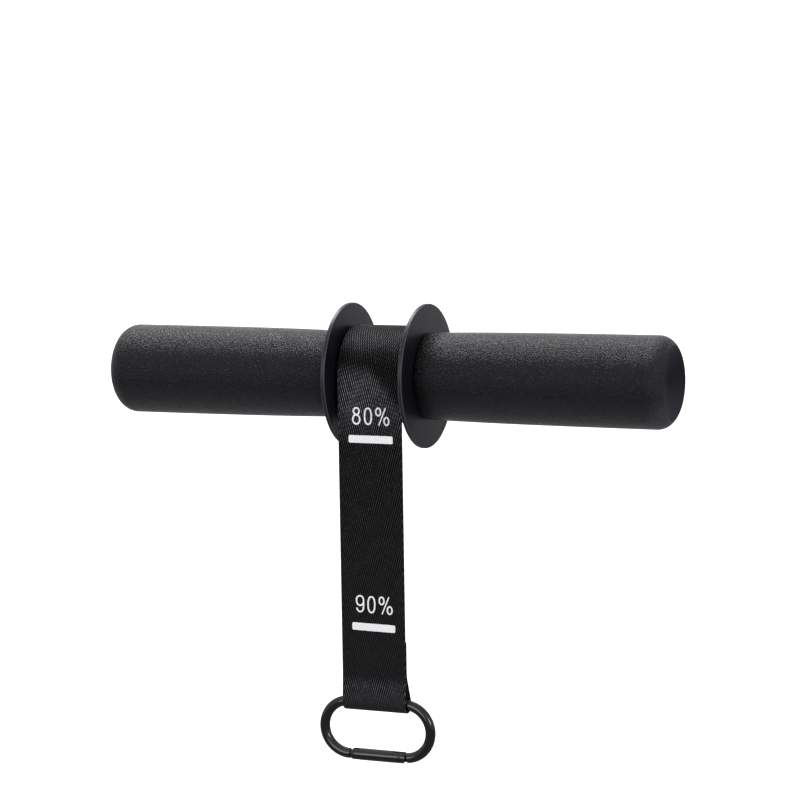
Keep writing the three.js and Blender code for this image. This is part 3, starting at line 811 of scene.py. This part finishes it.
class ROLLER_OT_grips(RollerOperator):
    """The two foam grips, with their rounded closed ends"""

    bl_idname = "roller.grips"
    bl_label = "Grips"

    def execute(self, context):
        sizes, finishes = context.scene.roller_sizes, context.scene.roller_finishes
        foam, smooth = foam_material(finishes.foam), foam_end_material(finishes.foam_end)
        for side in ("right", "left"):
            profile = self.profile(sizes)
            grip = lathe(f"{side}_grip_foam", profile, sides=160, mirror=side == "left")
            dress(grip, foam)
            grip.data.materials.append(smooth)
            for face in grip.data.polygons:
                face.material_index = int(abs(face.center.x) > END_FACE)
            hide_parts(f"{side}_grip")
            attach(grip, "bar")
        return {"FINISHED"}

    def profile(self, sizes):
        """From the bore's closed end, over the root by the flange, to the middle of the end."""
        start, end, full = GRIP_LOW.x, GRIP_HIGH.x, GRIP_HIGH.z
        bore, root = sizes.tube_clear_radius, sizes.grip_root_radius
        wall = 0.0129  # foam beyond the tube's end
        bore_end, corner = end - wall, end - sizes.grip_end
        edge = 0.0009  # rounding of the root's edge
        squareness = 3.7  # 2 would make the end a half ellipse
        side_steps, end_steps = 60, 48
        profile = [(bore_end, 0.0), (bore_end, bore), (start, bore)]
        profile += arc((start + edge, root - edge), (edge, edge), 180, 90, 6)
        for i in range(1, side_steps + 1):
            x = start + edge + (corner - start - edge) * i / side_steps
            narrowing = (full - root) * math.exp((start - x) / sizes.grip_swell)
            profile.append((x, full - narrowing * (1.0 - i / side_steps)))
        for i in range(1, end_steps + 1):
            angle = math.pi / 2.0 * i / end_steps
            out = math.cos(angle) ** (2.0 / squareness) if i < end_steps else 0.0
            profile.append((corner + sizes.grip_end * math.sin(angle), full * out))
        return profile


class ROLLER_OT_flanges(RollerOperator):
    """The two flange discs, drilled for their hidden screws"""

    bl_idname = "roller.flanges"
    bl_label = "Flanges"

    def execute(self, context):
        sizes, finishes = context.scene.roller_sizes, context.scene.roller_finishes
        satin = flange_material(finishes.flange, finishes.flange_edge_highlight)
        inner, outer, radius = FLANGE_LOW.x, FLANGE_HIGH.x, FLANGE_HIGH.z
        bore, edge = sizes.tube_clear_radius, sizes.flange_edge
        profile = [(outer, bore), (inner, bore)]
        profile += arc((inner + edge, radius - edge), (edge, edge), 180, 90, 6)
        profile += arc((outer - edge, radius - edge), (edge, edge), 90, 0, 6)
        for side in ("right", "left"):
            name, mirror = f"{side}_flange_disc", side == "left"
            disc = lathe(name, profile, sides=192, mirror=mirror, ring=True)
            for i in range(1, 4):
                low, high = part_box(f"{side}_flange_screw_{i}")
                combined(disc, self.hole(side, outer, low, high), "DIFFERENCE")
            sharpen(disc, degrees=30.0)
            dress(disc, satin)
            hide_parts(f"{side}_flange")
            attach(disc, "bar")
        return {"FINISHED"}

    def hole(self, side, face, low, high):
        """The countersunk hole round one screw."""
        clearance, shank = 0.0002, 0.0017
        head = (high.z - low.z) / 2.0 + clearance
        bottom, cone, beyond = face - 0.006, face - 0.0013, face + 0.001
        profile = [
            (bottom, 0.0), (bottom, shank), (cone, shank),
            (face, head), (beyond, head), (beyond, 0.0),
        ]
        tool = lathe("hole_tool", profile, sides=32, mirror=side == "left")
        middle = (0.0, (low.y + high.y) / 2.0, (low.z + high.z) / 2.0)
        tool.data.transform(Matrix.Translation(middle))
        return tool


class ROLLER_OT_wound_webbing(RollerOperator):
    """The webbing wound on the spool: tight turns that follow the strap, and those that stay"""

    bl_idname = "roller.wound_webbing"
    bl_label = "Wound webbing"

    def execute(self, context):
        sizes, finishes = context.scene.roller_sizes, context.scene.roller_finishes
        cloth = webbing_material("webbing_twill", finishes, mapped=True)
        radius, core = -OUTER_LOW.y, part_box("spool_core")[1].z
        inner_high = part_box("strap_inner_turns")[1].z
        outer, walked = self.wound(
            "wound_webbing_outer", cloth, sizes, radius, inner_high, crown=0.0008, aside=0.00035)
        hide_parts("strap_outer_turns")
        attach(outer, "strap_lead")
        inner, walked = self.wound(
            "wound_webbing_inner", cloth, sizes, inner_high, core, crown=0.0, aside=0.0002)
        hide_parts("strap_inner_turns")
        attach(inner, "bar")
        return {"FINISHED"}

    def wound(self, name, cloth, sizes, outside, inside, crown, aside):
        """A winding that fills the room between two radii, and its length of webbing."""
        middle = (OUTER_LOW.x + OUTER_HIGH.x) / 2.0
        half = (OUTER_HIGH.x - OUTER_LOW.x) / 2.0
        thick, pitch = sizes.webbing, sizes.webbing + sizes.turn_gap
        turns = (outside - thick - inside - sizes.turn_gap) / pitch
        places = spiral(outside, pitch, thick, turns, crown)
        piece = webbing_piece(name, places, middle, half, thick, drift=self.drift(turns, aside))
        # The map runs up the roll, against the hanging strap's, so that the weave goes on unbroken
        for corner in piece.data.uv_layers["webbing"].data:
            corner.uv[1] = -corner.uv[1]
        return dress(piece, cloth), walked_along(places)

    def drift(self, turns, most):
        """Each turn lies a little aside of the one over it, but the strap leaves it straight."""
        def aside(t):
            turn = t * turns
            return most * min(1.0, turn) * math.sin(2.3 * turn + 0.8 * math.sin(5.1 * turn))
        return aside


class ROLLER_OT_hanging_strap(RollerOperator):
    """The stretch that pays out, and the strap's sewn end with its loop"""

    bl_idname = "roller.hanging_strap"
    bl_label = "Hanging strap"

    def execute(self, context):
        sizes, finishes = context.scene.roller_sizes, context.scene.roller_finishes
        middle, half, thick = STRAP_MIDDLE, STRAP_HALF, sizes.webbing
        front = RUN_LOW.y + thick / 2.0
        joint = (RUN_LOW.z + END_HIGH.z) / 2.0
        steps, facing = 48, (-1.0, 0.0)
        places = [((front, joint * i / steps), facing) for i in range(steps + 1)]
        run = webbing_piece("strap_run_webbing", places, middle, half, thick)
        dress(run, webbing_material("webbing_twill_run", finishes, mapped=False))
        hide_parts("strap_run")
        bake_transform(run)
        places = self.route(front, joint, thick)
        end = webbing_piece("strap_end_webbing", places, middle, half, thick, start=-joint)
        dress(end, bpy.data.materials["webbing_twill"])
        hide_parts("strap_end")
        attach(end, "strap_end")
        return {"FINISHED"}

    def route(self, front, joint, thick):
        """Middle line of the sewn end: down the front, round the rod, up the back over the seam."""
        outside = 0.0047  # radius of the loop's outer face round the rod
        rod = Vector((BODY_MIDDLE.y, END_LOW.z + outside))
        radius = outside - thick / 2.0
        seam_low, seam_high = -0.1644, -0.145
        back = front + thick + LAYER_GAP
        leaves, returns = Vector((front, seam_low)), Vector((back, seam_low))
        start = self.touch(leaves, rod, radius, 1.0)
        end = self.touch(returns, rod, radius, -1.0) + TURN
        degrees = (math.degrees(start), math.degrees(end))
        loop = [Vector(p) for p in arc(rod, (radius, radius), *degrees, 48)]
        line = self.between(Vector((front, joint)), leaves, 120) + [leaves]
        line += self.between(leaves, loop[0], 12)[1:] + loop
        line += self.between(loop[-1], returns, 12)[1:]
        line += self.between(returns, Vector((back, seam_high)), 20) + [Vector((back, seam_high))]
        for _ in range(3):
            inner = [(a + b * 2.0 + c) / 4.0 for a, b, c in zip(line, line[1:], line[2:])]
            line = [line[0]] + inner + [line[-1]]
        ways = [direction(line, i).normalized() for i in range(len(line))]
        return [(tuple(point), (way.y, -way.x)) for point, way in zip(line, ways)]

    def between(self, first, last, steps):
        """Evenly spread points from the first up to, but without, the last."""
        return [first.lerp(last, i / steps) for i in range(steps)]

    def touch(self, point, centre, radius, side):
        """The angle at which a line from a point touches a circle."""
        away = point - centre
        return math.atan2(away.y, away.x) % TURN + side * math.acos(radius / away.length)


class ROLLER_OT_stitching(RollerOperator):
    """The seam's stitches, front and back"""

    bl_idname = "roller.stitching"
    bl_label = "Stitching"

    def execute(self, context):
        sizes, finishes = context.scene.roller_sizes, context.scene.roller_finishes
        black = thread_material(finishes.seam)
        inset, second_row = 0.0032, 0.002
        low, high = -0.1632, -0.1466
        left, right = STRAP_MIDDLE - STRAP_HALF + inset, STRAP_MIDDLE + STRAP_HALF - inset
        rows = [((left, z), (right, z)) for z in (low, high)]
        rows += [((x, low), (x, high)) for x in (left, right)]
        rows.append(((left, low + second_row), (right, low + second_row)))
        sides = {"front": RUN_LOW.y, "back": RUN_LOW.y + 2.0 * sizes.webbing + LAYER_GAP}
        for side, face in sides.items():
            points, faces = [], []
            for start, end in rows:
                self.row(points, faces, Vector(start), Vector(end), face, sizes)
            seam = sharpen(new_piece(f"seam_stitches_{side}", points, faces), degrees=60.0)
            dress(seam, black)
            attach(seam, "strap_end")
        return {"FINISHED"}

    def row(self, points, faces, start, end, face, sizes):
        """One row of stitches: each a short thread that dips into the cloth at both ends."""
        rings, sides = 7, 8
        share, flatness, least = 0.44, 0.8, 0.08  # of the step, of the height, of the end's area
        count = max(1, round((end - start).length / sizes.stitch))
        step = (end - start) / count
        ahead = step.normalized()
        aside = Vector((-ahead.y, ahead.x))
        for k in range(count):
            middle = start + step * (k + 0.5)
            faces += skin(rings, sides, len(points))
            for i in range(rings):
                t = -1.0 + 2.0 * i / (rings - 1)
                radius = sizes.thread * math.sqrt(max(least, 1.0 - abs(t) ** 3))
                centre = middle + ahead * (step.length * share) * t
                for c, s in circle(sides):
                    spot = centre + aside * radius * c
                    points.append((spot.x, face + radius * s * flatness, spot.y))


class ROLLER_OT_printed_marks(RollerOperator):
    """The 80% and 90% marks, and a bar under each"""

    bl_idname = "roller.printed_marks"
    bl_label = "Printed marks"

    def execute(self, context):
        sizes, finishes = context.scene.roller_sizes, context.scene.roller_finishes
        ink = ink_material(finishes.ink)
        # The figures' top, their shift to the right, the bar's width and the mark's lean in degrees
        marks = {"80": (-0.0150, 0.0002, 0.0262, 0.0), "90": (-0.1196, 0.0004, 0.0256, -0.8)}
        bar_drop, bar_tall, figure_left = 0.0156, 0.0042, -0.0109
        for name, (top, shift, wide, lean) in marks.items():
            points, faces = [], []
            for level, (stroke, closed, width) in enumerate(self.strokes(name[0], sizes)):
                moved = [(x + shift, top + z) for x, z in stroke]
                # Strokes that cross differ a little in height, so their faces share no plane
                height = sizes.ink * (1.0 + 0.15 * (level % 3))
                self.ribbon(points, faces, moved, closed, width, height)
            figure = sharpen(new_piece(f"mark_{name}_percent", points, faces))
            points, faces = [], []
            outline = self.bar(shift, top - bar_drop, wide, bar_tall)
            self.slab(points, faces, outline, sizes.ink)
            bar = sharpen(new_piece(f"mark_{name}_bar", points, faces))
            left = Vector((figure_left, 0.0, top))
            tilt = Matrix.Rotation(math.radians(-lean), 4, "Y")
            turn = Matrix.Translation(left) @ tilt @ Matrix.Translation(-left)
            for piece in (figure, bar):
                piece.data.transform(turn)
                dress(piece, ink)
                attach(piece, "strap_end")
        return {"FINISHED"}

    def strokes(self, digit, sizes):
        """Middle lines of the figures, in metres from the webbing's middle and from their top, each
        with whether it closes on itself and its width."""
        width, tall = sizes.mark_stroke, 0.0098
        ring_width, slash_width = width * 0.95, width * 0.8
        half = width / 2.0

        def oval(left, right, top, bottom, power=2.0):
            centre = ((left + right) / 2.0, (top + bottom) / 2.0)
            reach = ((right - left) / 2.0 - half, (top - bottom) / 2.0 - half)
            return [
                tuple(m + r * math.copysign(abs(v) ** (2.0 / power), v)
                      for m, r, v in zip(centre, reach, corner))
                for corner in circle(48)
            ]

        if digit == "8":
            figure = [
                (oval(-0.0106, -0.0063, 0.0, -0.0046), True, width),
                (oval(-0.0111, -0.0060, -0.0039, -tall), True, width),
            ]
        else:
            right = -0.0058 - half
            tail = [(right, z) for z in (-0.0030, -0.0040, -0.0056)]
            tail += arc((-0.0083, -0.0065), (0.0025 - half, 0.0033 - half), 0, -158, 20)
            loop = oval(-0.0109, -0.0058, 0.0, -0.0062, 2.2)
            figure = [(loop, True, width), (tail, False, width)]
        return figure + [
            (oval(-0.0040, 0.0009, -0.0001, -tall, 2.35), True, width),
            (oval(0.0027, 0.0064, 0.0001, -0.0049), True, ring_width),
            ([(0.0088, -0.0003), (0.0049, -0.0096)], False, slash_width),
            (oval(0.00755, 0.0112, -0.0049, -0.0100), True, ring_width),
        ]

    def ribbon(self, points, faces, line, closed, width, height):
        """A stroke as a thin slab: a ring, or a line with round ends."""
        half = width / 2.0
        line = [Vector(p) for p in line]
        count = len(line)
        left, right = [], []
        for i, point in enumerate(line):
            ahead = line[(i + 1) % count] - line[i - 1] if closed else direction(line, i)
            aside = Vector((-ahead.y, ahead.x)).normalized() * half
            left.append(point + aside)
            right.append(point - aside)
        if closed:
            base = len(points)
            for pair in zip(left, right):
                points += [self.at(edge, level) for edge in pair for level in (height, -SUNK)]
            for i in range(count):
                a, b = base + 4 * i, base + 4 * ((i + 1) % count)
                for one, two in ((0, 2), (2, 3), (3, 1), (1, 0)):
                    faces.append([a + one, b + one, b + two, a + two])
            return
        caps = []
        for end, step in ((count - 1, 1), (0, -1)):
            ahead = (line[end] - line[end - step]).normalized()
            turn = math.atan2(ahead.y, ahead.x)
            round_end = [turn + a for a in (1.2, 0.8, 0.4, 0.0, -0.4, -0.8, -1.2)]
            caps.append([line[end] + Vector((math.cos(a), math.sin(a))) * half for a in round_end])
        self.slab(points, faces, left + caps[0] + right[::-1] + caps[1], height)

    def bar(self, shift, top, wide, tall):
        """A rounded bar whose long edges waver with the weave."""
        draw = random.Random(7)
        rounding, thread, most = 0.0009, 0.0005, 0.00006
        left = -0.0002 + shift - wide / 2.0
        corners = [(left, top), (left + wide, top), (left + wide, top - tall), (left, top - tall)]
        rounded = softened(corners, rounding, 5)
        outline = []
        for here, ahead in zip(map(Vector, rounded), map(Vector, rounded[1:] + rounded[:1])):
            steps = max(1, int((ahead - here).length / thread))
            for k in range(steps):
                wander = most if steps > 3 and k else 0.0
                aside = Vector((draw.uniform(-wander, wander), draw.uniform(-wander, wander)))
                outline.append(here.lerp(ahead, k / steps) + aside)
        return outline

    def slab(self, points, faces, outline, height):
        """An outline as a thin closed plate, sunk a little into the webbing."""
        faces += skin(2, len(outline), len(points))
        points += [self.at(point, level) for level in (height, -SUNK) for point in outline]

    def at(self, point, height):
        """A point of the print, height above the webbing's front face."""
        return (point[0], RUN_LOW.y - height, point[1])


class ROLLER_OT_carabiner(RollerOperator):
    """The carabiner's bent rod, with the gate's tongue and the hooked nose"""

    bl_idname = "roller.carabiner"
    bl_label = "Carabiner"

    def execute(self, context):
        sizes, finishes = context.scene.roller_sizes, context.scene.roller_finishes
        black = rod_material(finishes.rod)
        middle = Vector((BODY_MIDDLE.x, BODY_MIDDLE.y, BODY_HIGH.z - sizes.rod_radius))
        drop = middle.z - GATE_HEIGHT
        bend = drop / 2.0
        straight = (BODY_HIGH.x - BODY_LOW.x) / 2.0 - sizes.rod_radius - bend
        shoulder, nose = HINGE + 0.00395, CATCH - 0.0023  # the round rod's two ends
        start_angle = math.degrees(math.asin((shoulder - straight) / bend)) - 90.0
        line = arc((straight, -bend), (bend, bend), start_angle, 90.0, 72)
        line += [(straight - 2.0 * straight * i / 24, 0.0) for i in range(1, 24)]
        line += arc((-straight, -bend), (bend, bend), 90.0, 270.0, 72)
        line.append((nose, -drop))
        places = [middle + Vector((x, 0.0, z)) for x, z in line]
        rod = rod_along("carabiner_rod", *self.chamfered(places, sizes.rod_radius), sides=40)
        low = middle + Vector((0.0, 0.0, -drop))
        # Half the height and the whole thickness of tongue and hook, and their length in the rod
        tall, thick, rooted = 0.0020, 0.0024, 0.003
        past_pin, rounding, hook_rounding = 0.002, 0.0003, 0.00025
        tongue = rectangle(HINGE - past_pin, shoulder + rooted, tall)
        combined(rod, prism("tongue_tool", softened(tongue, rounding), thick, low), "UNION")
        root, right, left = nose - rooted, CATCH + CATCH_TO_NOTCH, CATCH - CATCH_TO_NOTCH
        tip, lip_top, notch_floor = right + NOSE_LIP, 0.0009, -0.0012
        hook = [
            (root, -tall), (tip, -tall), (tip, lip_top), (right, lip_top),
            (right, notch_floor), (left, notch_floor), (left, tall), (root, tall),
        ]
        combined(rod, prism("hook_tool", softened(hook, hook_rounding), thick, low), "UNION")
        sharpen(rod, degrees=32.0)
        dress(rod, black)
        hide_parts("carabiner_body")
        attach(rod, "carabiner")
        return {"FINISHED"}

    def chamfered(self, places, radius):
        """The rod's places and radii, with both ends narrowed over a short length."""
        edge = 0.00045
        radii = [radius] * len(places)
        for _ in range(2):
            last, before = places[-1], places[-2]
            back = (before - last).normalized()
            places = places[:-1] + [last + back * edge, last + back * edge * 0.3, last]
            radii = radii[:-1] + [radius, radius - edge * 0.55, radius - edge]
            places, radii = places[::-1], radii[::-1]
        return places, radii


class ROLLER_OT_gate(RollerOperator):
    """The carabiner's slotted gate on its hinge pin"""

    bl_idname = "roller.gate"
    bl_label = "Gate"

    def execute(self, context):
        radius = context.scene.roller_sizes.gate_radius
        middle = Vector((BODY_MIDDLE.x, BODY_MIDDLE.y, GATE_HEIGHT))
        start, end = GATE_LOW.x - middle.x, GATE_HIGH.x - middle.x
        tip, taper, edge = 0.0027, 0.0015, 0.0003  # the narrow end's radius, its length, a rounding
        full = start + taper
        profile = [(start, 0.0), (start, tip - edge), (start + edge * 0.5, tip)]
        rounded_off = 0.00012  # how far the taper's top stays under the full radius
        profile += [(full - edge, radius - rounded_off), (full + edge, radius)]
        profile += [(full + (end - full) * i / 12, radius) for i in range(2, 12)]
        profile += [(end - edge, radius), (end, radius - edge), (end, 0.0)]
        gate = lathe("carabiner_gate_tube", profile, sides=64)
        beyond = 0.001  # how far the tools reach past what they cut
        reach, before, after = radius + beyond, start - beyond, end + beyond
        end_round = arc((HINGE, 0.0), (end - HINGE, end - HINGE), -90, 90, 28)
        keeper = [(before, -reach), (HINGE, -reach)] + end_round + [(HINGE, reach), (before, reach)]
        combined(gate, prism("end_tool", keeper, 2.0 * reach), "INTERSECT")
        slot, nose_room = 0.003, 0.0013
        hinge_slot, nose_slot = HINGE - 0.0043, CATCH + CATCH_TO_NOTCH + NOSE_LIP + nose_room
        for name, span in (("hinge", (hinge_slot, after)), ("nose", (before, nose_slot))):
            cut = prism(f"{name}_slot_tool", rectangle(*span, reach), slot)
            combined(gate, cut, "DIFFERENCE")
        bore, bore_start, bore_end = 0.00175, HINGE - 0.0177, HINGE - 0.0033
        profile = [(bore_start, 0.0), (bore_start, bore), (bore_end, bore), (bore_end, 0.0)]
        combined(gate, lathe("bore_tool", profile, sides=32), "DIFFERENCE")
        for place, hole in ((HINGE, 0.0012), (CATCH, 0.001)):
            outline = arc((place, 0.0), (hole, hole), 0, 345, 23)
            combined(gate, prism("pin_tool", outline, 2.0 * reach), "DIFFERENCE")
        gate.data.transform(Matrix.Translation(middle))
        sharpen(gate, degrees=28.0)
        dress(gate, bpy.data.materials["anodised_black"])
        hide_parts("carabiner_gate")
        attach(gate, "gate")
        return {"FINISHED"}


class ROLLER_OT_pins(RollerOperator):
    """The gate's hinge and catch pins, with domed heads"""

    bl_idname = "roller.pins"
    bl_label = "Pins"

    def execute(self, context):
        base = scaled_colour(context.scene.roller_finishes.steel, 0.05)
        steel = steel_material("burnished_pin_steel", base, 0.3, 0.5)
        dome = 0.00025
        for name, body in (("gate_hinge_pin", "carabiner"), ("gate_catch_pin", "gate")):
            low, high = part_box(name)
            radius, half = (high.x - low.x) / 2.0, (high.y - low.y) / 2.0
            head = [(half + dome * math.cos(a), radius * math.sin(a)) for a in (1.0, 0.5)]
            head = [(half, radius)] + head + [(half + dome, 0.0)]
            profile = [(-x, out) for x, out in reversed(head)] + head
            pin = lathe(f"{name}_steel", profile, sides=32)
            turn = Matrix.Rotation(math.pi / 2.0, 4, "Z")
            pin.data.transform(Matrix.Translation((low + high) / 2.0) @ turn)
            dress(pin, steel)
            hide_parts(name)
            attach(pin, body)
        return {"FINISHED"}


class ROLLER_OT_hidden_parts(RollerOperator):
    """Finishes for the tube, core, plugs, screws, clamp, spring and plunger inside"""

    bl_idname = "roller.hidden_parts"
    bl_label = "Hidden parts"

    def execute(self, context):
        finishes = context.scene.roller_finishes
        tube, wire = scaled_colour(finishes.steel, 0.75), scaled_colour(finishes.steel, 0.6)
        plated = steel_material("zinc_plated_steel", finishes.steel, 0.28, 0.5)
        plastic = plastic_material(finishes.plastic)
        finish = dict.fromkeys(("spool_core", "right_end_plug", "left_end_plug"), plastic)
        finish["core_tube"] = steel_material("drawn_tube_steel", tube, 0.35, 0.55)
        finish["gate_spring"] = steel_material("spring_wire", wire, 0.2, 0.35)
        for name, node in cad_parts.items():
            if not node.hide_render:
                node.data.materials.clear()
                node.data.materials.append(finish.get(name, plated))
        return {"FINISHED"}


class ROLLER_PT_panel(bpy.types.Panel):
    """Lists the roller's steps and the sizes and colours they use"""

    bl_idname = "ROLLER_PT_panel"
    bl_label = "Wrist roller"
    bl_space_type = "VIEW_3D"
    bl_region_type = "UI"
    bl_category = "Roller"

    def draw(self, context):
        for step in STEPS:
            self.layout.operator(step.bl_idname)
        for group in GROUPS:
            values = getattr(context.scene, group)
            box = self.layout.box()
            for key in values.__annotations__:
                box.prop(values, key)


STEPS = (
    ROLLER_OT_studio,
    ROLLER_OT_grips,
    ROLLER_OT_flanges,
    ROLLER_OT_wound_webbing,
    ROLLER_OT_hanging_strap,
    ROLLER_OT_stitching,
    ROLLER_OT_printed_marks,
    ROLLER_OT_carabiner,
    ROLLER_OT_gate,
    ROLLER_OT_pins,
    ROLLER_OT_hidden_parts,
)
GROUPS = {
    "roller_sizes": RollerSizes,
    "roller_finishes": RollerFinishes,
    "roller_studio": RollerStudio,
}


def register():
    for group, kind in GROUPS.items():
        bpy.utils.register_class(kind)
        setattr(bpy.types.Scene, group, PointerProperty(type=kind))
    for kind in (*STEPS, ROLLER_PT_panel):
        bpy.utils.register_class(kind)


def unregister():
    for kind in reversed((*STEPS, ROLLER_PT_panel)):
        bpy.utils.unregister_class(kind)
    for group, kind in GROUPS.items():
        delattr(bpy.types.Scene, group)
        bpy.utils.unregister_class(kind)


def main():
    """Builds everything, in order."""
    register()
    bpy.ops.roller.studio()
    bpy.ops.roller.grips()
    bpy.ops.roller.flanges()
    bpy.ops.roller.wound_webbing()
    bpy.ops.roller.hanging_strap()
    bpy.ops.roller.stitching()
    bpy.ops.roller.printed_marks()
    bpy.ops.roller.carabiner()
    bpy.ops.roller.gate()
    bpy.ops.roller.pins()
    bpy.ops.roller.hidden_parts()


if __name__ == "__main__":
    main()
